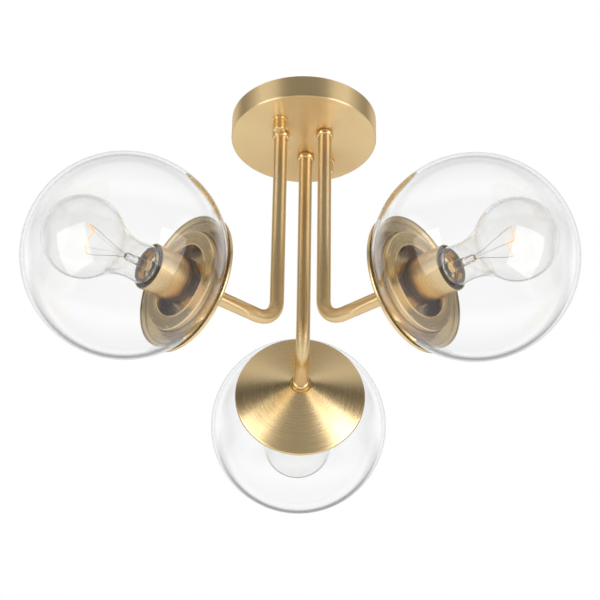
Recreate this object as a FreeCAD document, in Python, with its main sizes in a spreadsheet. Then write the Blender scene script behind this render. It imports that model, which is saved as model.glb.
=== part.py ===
"""Semi flush ceiling light: three bent arms with clear glass globes under a round canopy.

Lengths are millimetres and angles are degrees. The origin is on the ceiling, on the canopy's
axis, with +Z up. Each arm is drawn in a frame of its own: its origin is where the stem's axis
meets the arm's axis, X runs out along the arm, and Z runs up the stem.
"""
import FreeCAD
import Part
import Sketcher
import math
import os

# Driving dimensions: name, value, meaning.
DIMENSIONS = [
    ("canopy_radius", 60.0, "outer radius of the canopy"),
    ("canopy_height", 20.0, "ceiling to the canopy's face"),
    ("canopy_wall", 1.2, "sheet of the canopy"),
    ("canopy_edge", 1.5, "outer round between face and side"),
    ("stem_circle", 20.9, "circle of the three stems"),
    ("stem_angle", 85.0, "angle of the rear stem"),
    ("rear_turn", 6.0, "rear arm, turned from straight out"),
    ("left_turn", 16.0, "left arm, turned from straight out"),
    ("right_turn", -7.0, "right arm, turned from straight out"),
    ("arm_drop", 201.3, "ceiling to the axis of the arms"),
    ("reach", 142.9, "stem axis to the centre of the globe"),
    ("tube_radius", 5.55, "outer radius of the arm's tube"),
    ("tube_wall", 1.1, "wall of the tube"),
    ("bend_radius", 20.0, "centre line of the bend"),
    ("bush_length", 11.0, "threaded bush in each end of the tube"),
    ("collar_radius", 7.0, "outer radius of the bead collars"),
    ("collar_height", 5.2, "length of the bead collars"),
    ("collar_round", 2.3, "round of the bead"),
    ("thread_radius", 4.0, "outer radius of the threaded pipes"),
    ("pipe_bore", 2.7, "bore of the threaded pipes"),
    ("thread_depth", 9.0, "length of a threaded pipe inside the tube"),
    ("thread_fit", 0.05, "radial clearance of the threads"),
    ("swivel_fit", 0.08, "radial clearance of the stem in the canopy"),
    ("swivel_gap", 0.2, "clearance of collar and nut on the canopy"),
    ("nut_flats", 12.0, "width across flats of the pipe nuts"),
    ("nut_height", 4.0, "height of the pipe nuts"),
    ("flange_radius", 8.5, "flange of the nut inside the canopy"),
    ("flange_height", 1.2, "thickness of that flange"),
    ("nut_proud", 1.5, "pipe that stands out of the nut"),
    ("rim_radius", 54.0, "outer radius of the cup"),
    ("rim_gap", 0.44, "clearance of the globe inside the cup's rim"),
    ("rim_band", 2.2, "straight band at the cup's rim"),
    ("cup_depth", 23.5, "rim to the back of the cup"),
    ("cup_wall", 1.0, "sheet of the cup"),
    ("cup_edge", 1.2, "round between cone and band"),
    ("hub_face", 9.0, "flat at the back of the cup, radius"),
    ("hub_edge", 2.0, "round between that flat and the cone"),
    ("gallery_radius", 39.4, "outer radius of the gallery"),
    ("gallery_hole", 28.0, "radius of the hole in the gallery"),
    ("gallery_proud", 4.5, "gallery's face in front of the cup's rim"),
    ("gallery_wall", 0.9, "sheet of the gallery"),
    ("gallery_edge", 1.5, "outer round of the gallery"),
    ("groove_radius", 31.0, "outer radius of the step round the lip"),
    ("groove_depth", 0.8, "depth of that step"),
    ("lip_width", 1.6, "width of the rolled lip"),
    ("lip_depth", 3.2, "length of the rolled lip"),
    ("seat_gap", 0.1, "clearance of a piece on its seat"),
    ("bracket_sunk", 3.5, "bracket's face behind the cup's rim"),
    ("bracket_wall", 1.5, "plate of the bracket"),
    ("bracket_disc", 19.5, "radius of the bracket's disc"),
    ("tab_inner", 9.0, "half width of a tab at the disc"),
    ("tab_outer", 5.0, "half width of a tab at its end"),
    ("sleeve_length", 36.0, "length of the sleeve"),
    ("sleeve_wall", 0.9, "sheet of the sleeve"),
    ("sleeve_fit", 0.1, "radial clearance of the sleeve on the holder"),
    ("holder_radius", 16.6, "outer radius of the lamp holder"),
    ("holder_recess", 1.5, "holder's front, back from the sleeve's mouth"),
    ("holder_floor", 9.0, "floor of the lamp holder"),
    ("holder_bore", 6.0, "depth of the threaded bore in that floor"),
    ("contact_radius", 4.5, "centre contact of the lamp holder"),
    ("contact_gap", 0.2, "clearance of the two contacts"),
    ("shell_wall", 0.4, "sheet of the screw shell"),
    ("shell_recess", 1.0, "shell's front, back from the holder's front"),
    ("shell_fit", 0.05, "radial clearance of the shell in the holder"),
    ("base_radius", 13.0, "screw base of the bulb"),
    ("base_gap", 0.25, "radial clearance of the screw base"),
    ("base_wall", 0.4, "sheet of the screw base"),
    ("base_proud", 1.0, "base's front past the sleeve's mouth"),
    ("base_length", 23.0, "length of the screw base"),
    ("base_cone", 2.0, "length of the insulator behind the base"),
    ("base_cone_radius", 8.0, "back of the insulator"),
    ("tip_radius", 4.0, "centre contact of the bulb"),
    ("tip_height", 1.0, "height of that contact"),
    ("bulb_share", 0.4, "radius of the bulb's glass, as a share of the globe's"),
    ("bulb_gap", 6.5, "bulb's pole to the inside of the globe"),
    ("neck_radius", 14.2, "bulb's neck where it is narrowest"),
    ("neck_proud", 12.0, "base's front to that place"),
    ("flare_radius", 15.0, "glass in front of the base"),
    ("flare_proud", 1.4, "base's front to that place"),
    ("flare_round", 0.9, "round of the glass there"),
    ("tail_radius", 12.3, "glass inside the base"),
    ("tail_length", 6.0, "length of the glass inside the base"),
    ("bulb_wall", 0.8, "glass of the bulb"),
    ("stem_fit", 0.1, "radial clearance of the stem's foot in the glass"),
    ("stem_radius", 3.0, "glass stem"),
    ("stem_length", 27.0, "length of the glass stem"),
    ("wire_radius", 0.35, "radius of the leads and the filament"),
    ("lead_start", 1.6, "leads from the stem's axis, at the stem"),
    ("lead_spread", 13.0, "leads from the stem's axis, at the filament"),
    ("lead_length", 34.0, "leads along the stem's axis"),
    ("globe_radius", 75.0, "outer radius of the globe"),
    ("globe_wall", 2.5, "glass of the globe"),
    ("mouth_gap", 0.4, "radial clearance of the mouth on the gallery"),
    ("mouth_sunk", 2.7, "globe's flat mouth behind the cup's rim"),
    ("mouth_round", 1.0, "round of the mouth's edges"),
    ("knob_angle", 55.0, "direction of the crossbar and the two knobs"),
    ("knob_spacing", 69.85, "knob to knob"),
    ("knob_radius", 5.0, "body of a knob"),
    ("knob_height", 12.5, "height of a knob with its flange"),
    ("knob_flange", 6.0, "flange of a knob, radius"),
    ("knob_flange_height", 1.2, "thickness of that flange"),
    ("knob_edge", 0.7, "round of the knob's end"),
    ("knob_gap", 0.15, "clearance of a knob on the canopy"),
    ("stud_radius", 2.0, "threaded studs of the canopy"),
    ("stud_fit", 0.08, "radial clearance of a stud in its knob"),
    ("stud_hole", 0.4, "radial clearance of a stud in the canopy"),
    ("stud_reach", 8.0, "stud inside its knob"),
    ("stud_space", 1.2, "bore of the knob past the stud"),
    ("bar_length", 108.0, "length of the crossbar"),
    ("bar_width", 18.0, "width of the crossbar"),
    ("bar_wall", 2.0, "strap of the crossbar"),
    ("bar_flange", 3.5, "depth of the crossbar's flanges"),
    ("bar_flange_length", 92.0, "length of the crossbar's flanges"),
    ("bar_corner", 4.0, "corners of the crossbar"),
    ("bar_bore", 5.2, "centre hole of the crossbar"),
    ("screw_spacing", 88.9, "the two ceiling screws"),
    ("screw_hole", 2.4, "hole for a ceiling screw, radius"),
    ("stud_nut_flats", 7.0, "stud nut, width across flats"),
    ("stud_nut_height", 3.2, "stud nut"),
    ("ground_place", 20.0, "ground screw from the crossbar's centre"),
    ("ground_radius", 1.9, "ground screw's thread"),
    ("ground_head", 3.8, "ground screw's head, radius"),
    ("ground_head_height", 2.4, "ground screw's head"),
]

# Each arm: its side, which stem it is (counted from the rear one), and its own turn.
ARMS = [("rear", 0, "dims.rear_turn"), ("left", 1, "dims.left_turn"), ("right", 2, "dims.right_turn")]
STEM_STEP = f"(360 / {len(ARMS)})"

# Places up the stem, in the arm's frame.
FACE = "(dims.arm_drop - dims.canopy_height)"
TUBE_TOP = f"({FACE} - dims.swivel_gap - dims.collar_height)"
NUT_SEAT = f"({FACE} + dims.canopy_wall + dims.swivel_gap)"

# Places along the arm, in the arm's frame.
RIM_INSIDE = "(dims.rim_radius - dims.cup_wall)"
RIM_BACK = f"sqrt(dims.globe_radius ^ 2 - ({RIM_INSIDE} - dims.rim_gap) ^ 2)"
RIM = f"(dims.reach - {RIM_BACK})"
BAND = f"({RIM} - dims.rim_band)"
APEX = f"({RIM} - dims.cup_depth)"
TUBE_END = f"({APEX} - dims.collar_height)"
CONE_RUN = f"((dims.cup_depth - dims.rim_band) / ({RIM_INSIDE} - dims.hub_face))"
GALLERY_SEAT = (f"({APEX} + dims.cup_wall + dims.seat_gap"
                f" + (dims.gallery_radius - dims.hub_face) * {CONE_RUN})")
GALLERY = f"({RIM} + dims.gallery_proud)"
BRACKET = f"({RIM} - dims.bracket_sunk)"
SLEEVE_MOUTH = f"({BRACKET} + dims.sleeve_length)"
HOLDER_FRONT = f"({SLEEVE_MOUTH} - dims.holder_recess)"
HOLDER_FLOOR = f"({BRACKET} + dims.holder_floor)"
BASE_FRONT = f"({SLEEVE_MOUTH} + dims.base_proud)"
BASE_BACK = f"({BASE_FRONT} - dims.base_length)"
TIP = f"({BASE_BACK} - dims.base_cone - dims.tip_height)"
THREAD_BORE = "(dims.thread_radius + dims.thread_fit)"
SHELL_INSIDE = "(dims.base_radius + dims.base_gap)"
SHELL_OUTSIDE = f"({SHELL_INSIDE} + dims.shell_wall)"

# The bulb's neck is an arc that runs into its sphere without a corner.
GLOBE_INSIDE = "(dims.globe_radius - dims.globe_wall)"
BULB_RADIUS = "(dims.globe_radius * dims.bulb_share)"
BULB_CENTRE = f"(dims.reach + {GLOBE_INSIDE} - dims.bulb_gap - {BULB_RADIUS})"
NECK = f"({BASE_FRONT} + dims.neck_proud)"
NECK_SPAN = f"({BULB_CENTRE} - {NECK})"
NECK_ARC = (f"(({NECK_SPAN} ^ 2 / ({BULB_RADIUS} - dims.neck_radius)"
            f" - {BULB_RADIUS} - dims.neck_radius) / 2)")
NECK_REACH = f"({BULB_RADIUS} + {NECK_ARC})"

doc = FreeCAD.newDocument("SemiFlushLight")
sheet = doc.addObject("Spreadsheet::Sheet", "dims")
nodes = []


def fill_sheet():
    """Write each dimension to its own row, with its name as the alias."""
    for row, (name, size, meaning) in enumerate(DIMENSIONS, start=1):
        sheet.set(f"A{row}", name)
        sheet.set(f"B{row}", str(size))
        sheet.set(f"C{row}", meaning)
        sheet.setAlias(f"B{row}", name)
    doc.recompute()


def number(size):
    """The present value of an expression in the sheet's names."""
    return float(sheet.evalExpression(size))


def new_piece(name):
    """A body of its own for one physical piece."""
    body = doc.addObject("PartDesign::Body", name)
    body.Label = name
    nodes.append(body)
    return body


def place(body, along_x, along_y, along_z, turn):
    """Put a body at its place, turned about the vertical."""
    body.setExpression("Placement.Base.x", along_x)
    body.setExpression("Placement.Base.y", along_y)
    body.setExpression("Placement.Base.z", along_z)
    body.setExpression("Placement.Rotation.Angle", turn)


def place_on_arm(body, arm):
    """Put a body that is drawn in the arm's frame on its arm."""
    side, step, turn = arm
    angle = f"(dims.stem_angle + {step} * {STEM_STEP})"
    place(body, f"dims.stem_circle * cos{angle}", f"dims.stem_circle * sin{angle}",
          "-dims.arm_drop", f"{angle} + {turn}")


def new_sketch(body, role, offset="0", turn="0"):
    """A sketch on one of the body's own planes, moved along its normal and turned in it."""
    sketch = body.newObject("Sketcher::SketchObject", f"{body.Name}_sketch")
    plane = next(item for item in body.Origin.OriginFeatures if item.Role == role)
    sketch.AttachmentSupport = [(plane, "")]
    sketch.MapMode = "FlatFace"
    sketch.setExpression("AttachmentOffset.Base.z", offset)
    sketch.setExpression("AttachmentOffset.Rotation.Angle", turn)
    return sketch


def bind(sketch, kind, places, size):
    """Add a dimension to a sketch and tie it to its expression."""
    index = sketch.addConstraint(Sketcher.Constraint(kind, *places, number(size)))
    sketch.setExpression(f"Constraints[{index}]", size)


def locate(sketch, item, end, corner):
    """Hold one point of a sketch at its two coordinates."""
    bind(sketch, "DistanceX", (-1, 1, item, end), corner[0])
    bind(sketch, "DistanceY", (-1, 1, item, end), corner[1])


def arc_between(start, end, radius, turn):
    """The arc of less than half a turn from start to end, with its centre left or right."""
    chord = end - start
    middle = (start + end) * 0.5
    height = (radius ** 2 - (chord.Length / 2) ** 2) ** 0.5
    left = FreeCAD.Vector(-chord.y, chord.x, 0).normalize()
    centre = middle + left * (height if turn == "left" else -height)
    first, last = (start, end) if turn == "left" else (end, start)
    circle = Part.Circle(centre, FreeCAD.Vector(0, 0, 1), radius)
    return Part.ArcOfCircle(circle, circle.parameter(first), circle.parameter(last))


def rounding(point, before, after, size):
    """Where a round of this radius leaves one side of a corner and joins the other."""
    to_before = (before - point).normalize()
    to_after = (after - point).normalize()
    trim = size / math.tan(to_before.getAngle(to_after) / 2)
    return point + to_before * trim, point + to_after * trim


def turn_of(before, point, after):
    """Which way an outline turns at a point."""
    return "left" if (point - before).cross(after - point).z > 0 else "right"


def add_arc(sketch, start, end, radius, turn):
    """Add an arc and return it with its ends in the order of the outline."""
    item = sketch.addGeometry(arc_between(start, end, number(radius), turn))
    bind(sketch, "Radius", (item,), radius)
    return (item, 1, 2) if turn == "left" else (item, 2, 1)


def add_sides(sketch, corners, leaving, arriving):
    """Draw each side of an outline, straight or as an arc."""
    sides = []
    for index, corner in enumerate(corners):
        start = leaving[index]
        end = arriving[(index + 1) % len(corners)]
        if len(corner) == 4 and corner[2] != "round":
            sides.append(add_arc(sketch, start, end, corner[3], corner[2]))
        else:
            sides.append((sketch.addGeometry(Part.LineSegment(start, end)), 1, 2))
    return sides


def outline(sketch, corners):
    """Draw a closed outline whose corners are held by expressions.

    A corner is (x, y). With "round" and a radius it is rounded, and with "left" or "right"
    and a radius the side that leaves it is an arc with its centre on that hand.
    """
    points = [FreeCAD.Vector(number(corner[0]), number(corner[1]), 0) for corner in corners]
    count = len(corners)
    arriving = list(points)
    leaving = list(points)
    for index, corner in enumerate(corners):
        if "round" in corner:
            arriving[index], leaving[index] = rounding(
                points[index], points[index - 1], points[(index + 1) % count], number(corner[3]))
    sides = add_sides(sketch, corners, leaving, arriving)
    for index, corner in enumerate(corners):
        before, _, before_end = sides[index - 1]
        after, after_start, _ = sides[index]
        if "round" not in corner:
            sketch.addConstraint(Sketcher.Constraint(
                "Coincident", before, before_end, after, after_start))
            locate(sketch, after, after_start, corner)
            continue
        turn = turn_of(points[index - 1], points[index], points[(index + 1) % count])
        arc, arc_start, arc_end = add_arc(
            sketch, arriving[index], leaving[index], corner[3], turn)
        sketch.addConstraint(Sketcher.Constraint("Tangent", before, before_end, arc, arc_start))
        sketch.addConstraint(Sketcher.Constraint("Tangent", arc, arc_end, after, after_start))
        virtual = sketch.addGeometry(Part.Point(points[index]), True)
        sketch.addConstraint(Sketcher.Constraint("PointOnObject", virtual, 1, before))
        sketch.addConstraint(Sketcher.Constraint("PointOnObject", virtual, 1, after))
        locate(sketch, virtual, 1, corner)


def backwards(corners):
    """The same outline, run the other way."""
    hands = {"left": "right", "right": "left"}
    turned = []
    for index in range(len(corners) - 1, -1, -1):
        corner = corners[index]
        side = corners[index - 1][2:] if index else ()
        if "round" in corner:
            turned.append(corner)
        elif side and side[0] in hands:
            turned.append(corner[:2] + (hands[side[0]], side[1]))
        else:
            turned.append(corner[:2])
    return turned


def circle(sketch, across, up, radius):
    """Draw a circle held by its centre and its radius."""
    centre = FreeCAD.Vector(number(across), number(up), 0)
    normal = FreeCAD.Vector(0, 0, 1)
    item = sketch.addGeometry(Part.Circle(centre, normal, number(radius)))
    locate(sketch, item, 3, (across, up))
    bind(sketch, "Radius", (item,), radius)


def hexagon(sketch, flats, across="0"):
    """Draw a hexagon, centred on the sketch's X axis, from its width across flats."""
    corner_radius = f"({flats} / (2 * cos(30)))"
    outline(sketch, [
        (f"{across} + {corner_radius} * cos({angle})", f"{corner_radius} * sin({angle})")
        for angle in range(0, 360, 60)])


def feature(body, kind, sketch, suffix=""):
    """Add a sketched feature to a body."""
    made = body.newObject(f"PartDesign::{kind}", f"{body.Name}_{kind}{suffix}")
    made.Profile = sketch
    sketch.Visibility = False
    return made


def revolve(body, axis, corners):
    """Turn an outline in the XZ plane about X (H_Axis) or Z (V_Axis)."""
    sketch = new_sketch(body, "XZ_Plane")
    outline(sketch, corners)
    turned = feature(body, "Revolution", sketch)
    turned.ReferenceAxis = (sketch, [axis])
    turned.Angle = 360
    return turned


def tube_outline(start, end, inner, outer):
    """Outline of a straight ring or pipe along X."""
    return [(start, inner), (start, outer), (end, outer), (end, inner)]


def upright(corners):
    """The same outline with its length up Z instead of along X."""
    return [(corner[1], corner[0]) + tuple(corner[2:]) for corner in corners]


def pad(body, sketch, length, backwards=False, suffix=""):
    """Raise a sketch by a length."""
    made = feature(body, "Pad", sketch, suffix)
    made.Reversed = backwards
    made.setExpression("Length", length)
    return made


def cut(body, sketch, length, backwards=False, suffix=""):
    """Cut a sketch to a depth."""
    made = feature(body, "Pocket", sketch, suffix)
    made.Reversed = backwards
    made.setExpression("Length", length)
    return made


def repeat(body, original, sketch, count):
    """Repeat a feature round its sketch's origin."""
    pattern = body.newObject("PartDesign::PolarPattern", f"{original.Name}_round")
    pattern.Originals = [original]
    pattern.Axis = (sketch, ["N_Axis"])
    pattern.Angle = 360
    pattern.Occurrences = count
    body.Tip = pattern
    return pattern


def make_canopy():
    """Drawn cup, open to the ceiling, with holes for the stems and the studs."""
    body = new_piece("canopy")
    place(body, "0", "0", "-dims.canopy_height", "0")
    inside = "(dims.canopy_radius - dims.canopy_wall)"
    revolve(body, "V_Axis", [
        ("0", "0"),
        ("dims.canopy_radius", "0", "round", "dims.canopy_edge"),
        ("dims.canopy_radius", "dims.canopy_height"),
        (inside, "dims.canopy_height"),
        (inside, "dims.canopy_wall"),
        ("0", "dims.canopy_wall")])
    stems = new_sketch(body, "XY_Plane", turn="dims.stem_angle")
    circle(stems, "dims.stem_circle", "0", "dims.thread_radius + dims.swivel_fit")
    hole = cut(body, stems, "dims.canopy_wall", backwards=True, suffix="_stem")
    repeat(body, hole, stems, len(ARMS))
    studs = new_sketch(body, "XY_Plane", turn="dims.knob_angle")
    circle(studs, "dims.knob_spacing / 2", "0", "dims.stud_radius + dims.stud_hole")
    hole = cut(body, studs, "dims.canopy_wall", backwards=True, suffix="_stud")
    repeat(body, hole, studs, 2)


def make_crossbar():
    """Flanged steel strap against the ceiling, in line with the two knobs."""
    body = new_piece("crossbar")
    place(body, "0", "0", "-dims.bar_wall", "dims.knob_angle")
    half_length = "dims.bar_length / 2"
    half_width = "dims.bar_width / 2"
    strap = new_sketch(body, "XY_Plane")
    outline(strap, [(f"{end} * {half_length}", f"{side} * {half_width}", "round",
                     "dims.bar_corner") for end, side in ((-1, -1), (1, -1), (1, 1), (-1, 1))])
    circle(strap, "0", "0", "dims.bar_bore")
    circle(strap, "dims.ground_place", "0", "dims.ground_radius + dims.thread_fit")
    for end in (-1, 1):
        circle(strap, f"{end} * dims.screw_spacing / 2", "0", "dims.screw_hole")
        circle(strap, f"{end} * dims.knob_spacing / 2", "0", "dims.stud_radius + dims.thread_fit")
    pad(body, strap, "dims.bar_wall")
    flanges = new_sketch(body, "XY_Plane")
    flange = "dims.bar_flange_length / 2"
    for side in (-1, 1):
        outer = f"{side} * {half_width}"
        inner = f"{side} * ({half_width} - dims.bar_wall)"
        low, high = (outer, inner) if side < 0 else (inner, outer)
        outline(flanges, [(f"-{flange}", low), (flange, low), (flange, high), (f"-{flange}", high)])
    pad(body, flanges, "dims.bar_flange", backwards=True, suffix="_flanges")


def new_pair(name, height):
    """A node of two equal solids on the crossbar's line, standing up from a height."""
    body = new_piece(name)
    body.AllowCompound = True
    place(body, "0", "0", height, "dims.knob_angle")
    return body, new_sketch(body, "XY_Plane")


def make_studs():
    """Two threaded studs from the crossbar through the canopy."""
    body, sketch = new_pair("canopy_studs", "-dims.canopy_height - dims.stud_reach")
    for end in (-1, 1):
        circle(sketch, f"{end} * dims.knob_spacing / 2", "0", "dims.stud_radius")
    pad(body, sketch, "dims.canopy_height + dims.stud_reach - dims.seat_gap")


def make_stud_nuts():
    """Two nuts that lock the studs under the crossbar."""
    body, sketch = new_pair("stud_nuts", "-dims.bar_wall - dims.stud_nut_height")
    for end in (-1, 1):
        place_along = f"{end} * dims.knob_spacing / 2"
        hexagon(sketch, "dims.stud_nut_flats", place_along)
        circle(sketch, place_along, "0", "dims.stud_radius + dims.thread_fit")
    pad(body, sketch, "dims.stud_nut_height")


def make_ground_screw():
    """Earth screw, head down, in the crossbar."""
    body = new_piece("ground_screw")
    place(body, "dims.ground_place * cos(dims.knob_angle)",
          "dims.ground_place * sin(dims.knob_angle)",
          "-dims.bar_wall - dims.ground_head_height", "0")
    top = "(dims.ground_head_height + dims.bar_wall - dims.seat_gap)"
    revolve(body, "V_Axis", [
        ("0", "0"),
        ("dims.ground_head", "0", "round", "dims.knob_edge"),
        ("dims.ground_head", "dims.ground_head_height"),
        ("dims.ground_radius", "dims.ground_head_height"),
        ("dims.ground_radius", top),
        ("0", top)])


def make_knob(name, turn):
    """Cap nut with a flange and a blind threaded bore; its flange faces the canopy."""
    body = new_piece(name)
    angle = f"(dims.knob_angle + {turn})"
    place(body, f"dims.knob_spacing / 2 * cos{angle}", f"dims.knob_spacing / 2 * sin{angle}",
          "-dims.canopy_height - dims.knob_gap - dims.knob_height", angle)
    bore = "(dims.stud_radius + dims.stud_fit)"
    depth = "(dims.stud_reach + dims.stud_space - dims.knob_gap)"
    shoulder = "dims.knob_height - dims.knob_flange_height"
    revolve(body, "V_Axis", [
        ("0", "0"),
        ("dims.knob_radius", "0", "round", "dims.knob_edge"),
        ("dims.knob_radius", shoulder),
        ("dims.knob_flange", shoulder),
        ("dims.knob_flange", "dims.knob_height"),
        (bore, "dims.knob_height"),
        (bore, f"dims.knob_height - {depth}"),
        ("0", f"dims.knob_height - {depth}")])


def make_arm_tube(arm):
    """Bent tube with a threaded bush fixed in each end."""
    body = new_piece(f"{arm[0]}_arm_tube")
    place_on_arm(body, arm)
    section = new_sketch(body, "XY_Plane", offset=TUBE_TOP)
    circle(section, "0", "0", "dims.tube_radius")
    circle(section, "0", "0", "dims.tube_radius - dims.tube_wall")
    path = new_sketch(body, "XZ_Plane")
    draw_bend(path)
    pipe = feature(body, "AdditivePipe", section)
    pipe.Spine = (path, ["Edge1", "Edge2", "Edge3"])
    for role, place_at, suffix in (("XY_Plane", TUBE_TOP, "_top"), ("YZ_Plane", TUBE_END, "_end")):
        ring = new_sketch(body, role, offset=place_at)
        circle(ring, "0", "0", "dims.tube_radius - dims.tube_wall / 2")
        circle(ring, "0", "0", THREAD_BORE)
        pad(body, ring, "dims.bush_length", backwards=True, suffix=suffix)


def draw_bend(sketch):
    """Centre line of the tube: down the stem, round the bend and out along the arm."""
    top = FreeCAD.Vector(0, number(TUBE_TOP), 0)
    end = FreeCAD.Vector(number(TUBE_END), 0, 0)
    radius = number("dims.bend_radius")
    first = FreeCAD.Vector(0, radius, 0)
    last = FreeCAD.Vector(radius, 0, 0)
    stem = sketch.addGeometry(Part.LineSegment(top, first))
    bend = sketch.addGeometry(arc_between(first, last, radius, "left"))
    run = sketch.addGeometry(Part.LineSegment(last, end))
    sketch.addConstraint(Sketcher.Constraint("Tangent", stem, 2, bend, 1))
    sketch.addConstraint(Sketcher.Constraint("Tangent", bend, 2, run, 1))
    sketch.addConstraint(Sketcher.Constraint("Vertical", stem))
    bind(sketch, "Radius", (bend,), "dims.bend_radius")
    locate(sketch, stem, 1, ("0", TUBE_TOP))
    locate(sketch, run, 2, (TUBE_END, "0"))


def make_collars(arm):
    """Bead collars at the canopy and at the cup."""
    for name, start, shape, axis in (("top_collar", TUBE_TOP, upright, "V_Axis"),
                                     ("hub_collar", TUBE_END, list, "H_Axis")):
        body = new_piece(f"{arm[0]}_{name}")
        place_on_arm(body, arm)
        end = f"({start} + dims.collar_height)"
        bead = ("round", "dims.collar_round")
        revolve(body, axis, shape([
            (start, THREAD_BORE),
            (start, "dims.collar_radius", *bead),
            (end, "dims.collar_radius", *bead),
            (end, THREAD_BORE)]))


def make_nipples(arm):
    """Threaded pipes through the canopy and through the cup."""
    top_end = f"({NUT_SEAT} + dims.flange_height + dims.nut_height + dims.nut_proud)"
    hub_end = f"({BRACKET} + dims.holder_bore - dims.seat_gap)"
    for name, start, end, shape, axis in (
            ("top_nipple", TUBE_TOP, top_end, upright, "V_Axis"),
            ("hub_nipple", TUBE_END, hub_end, list, "H_Axis")):
        body = new_piece(f"{arm[0]}_{name}")
        place_on_arm(body, arm)
        start = f"({start} - dims.thread_depth)"
        revolve(body, axis, shape(tube_outline(start, end, "dims.pipe_bore",
                                               "dims.thread_radius")))


def make_top_nut(arm):
    """Flange nut inside the canopy; the arm hangs from it and turns with it."""
    body = new_piece(f"{arm[0]}_top_nut")
    place_on_arm(body, arm)
    hexed = new_sketch(body, "XY_Plane", offset=NUT_SEAT)
    hexagon(hexed, "dims.nut_flats")
    circle(hexed, "0", "0", THREAD_BORE)
    pad(body, hexed, "dims.flange_height + dims.nut_height")
    flange = new_sketch(body, "XY_Plane", offset=NUT_SEAT)
    circle(flange, "0", "0", "dims.flange_radius")
    circle(flange, "0", "0", THREAD_BORE)
    pad(body, flange, "dims.flange_height", suffix="_flange")


def make_hub_nut(arm):
    """Nut that clamps the cup on its collar."""
    body = new_piece(f"{arm[0]}_hub_nut")
    place_on_arm(body, arm)
    sketch = new_sketch(body, "YZ_Plane", offset=f"{APEX} + dims.cup_wall")
    hexagon(sketch, "dims.nut_flats")
    circle(sketch, "0", "0", THREAD_BORE)
    pad(body, sketch, "dims.nut_height")


def make_cup(arm):
    """Spun cone with a straight band at its rim."""
    body = new_piece(f"{arm[0]}_cup")
    place_on_arm(body, arm)
    revolve(body, "H_Axis", [
        (APEX, THREAD_BORE),
        (APEX, "dims.hub_face", "round", "dims.hub_edge"),
        (BAND, "dims.rim_radius", "round", "dims.cup_edge"),
        (RIM, "dims.rim_radius"),
        (RIM, RIM_INSIDE),
        (f"{BAND} + dims.cup_wall", RIM_INSIDE),
        (f"{APEX} + dims.cup_wall", "dims.hub_face"),
        (f"{APEX} + dims.cup_wall", THREAD_BORE)])


def make_gallery(arm):
    """Pressed ring inside the globe's mouth: a wall, a face, a step and a rolled lip."""
    body = new_piece(f"{arm[0]}_gallery")
    place_on_arm(body, arm)
    inner_wall = "(dims.gallery_radius - dims.gallery_wall)"
    lip_inside = "(dims.gallery_hole + dims.gallery_wall)"
    lip_edge = "(dims.gallery_hole + dims.lip_width)"
    step = f"({GALLERY} - dims.groove_depth)"
    revolve(body, "H_Axis", [
        (GALLERY_SEAT, "dims.gallery_radius"),
        (GALLERY, "dims.gallery_radius", "round", "dims.gallery_edge"),
        (GALLERY, "dims.groove_radius"),
        (step, "dims.groove_radius"),
        (step, lip_edge),
        (GALLERY, lip_edge),
        (GALLERY, "dims.gallery_hole", "round", "dims.lip_width / 2"),
        (f"{GALLERY} - dims.lip_depth", "dims.gallery_hole"),
        (f"{GALLERY} - dims.lip_depth", lip_inside),
        (f"{step} - dims.gallery_wall", lip_inside),
        (f"{step} - dims.gallery_wall", inner_wall),
        (GALLERY_SEAT, inner_wall)])


def make_socket_bracket(arm):
    """Disc under the lamp holder with three wedge tabs that reach the gallery's wall."""
    body = new_piece(f"{arm[0]}_socket_bracket")
    place_on_arm(body, arm)
    back = f"({BRACKET} - dims.bracket_wall)"
    disc = new_sketch(body, "YZ_Plane", offset=back)
    circle(disc, "0", "0", "dims.bracket_disc")
    circle(disc, "0", "0", THREAD_BORE)
    pad(body, disc, "dims.bracket_wall")
    tab = new_sketch(body, "YZ_Plane", offset=back, turn="-90")
    root = "(dims.bracket_disc - dims.bracket_wall) * cos(45)"
    reach = "(dims.gallery_radius - dims.gallery_wall) * cos(10) - dims.seat_gap"
    outline(tab, [(root, "-dims.tab_inner"), (reach, "-dims.tab_outer"),
                  (reach, "dims.tab_outer"), (root, "dims.tab_inner")])
    raised = pad(body, tab, "dims.bracket_wall", suffix="_tab")
    repeat(body, raised, tab, 3)


def make_holder(arm):
    """Insulating cup of the lamp holder, with the centre contact on its floor."""
    body = new_piece(f"{arm[0]}_lamp_holder")
    place_on_arm(body, arm)
    contact = f"({TIP} - dims.contact_gap)"
    seat = f"({SHELL_OUTSIDE} + dims.shell_fit)"
    revolve(body, "H_Axis", [
        (f"{BRACKET} + dims.holder_bore", "0"),
        (f"{BRACKET} + dims.holder_bore", THREAD_BORE),
        (BRACKET, THREAD_BORE),
        (BRACKET, "dims.holder_radius"),
        (HOLDER_FRONT, "dims.holder_radius"),
        (HOLDER_FRONT, seat),
        (HOLDER_FLOOR, seat),
        (HOLDER_FLOOR, "dims.contact_radius"),
        (contact, "dims.contact_radius"),
        (contact, "0")])


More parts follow.
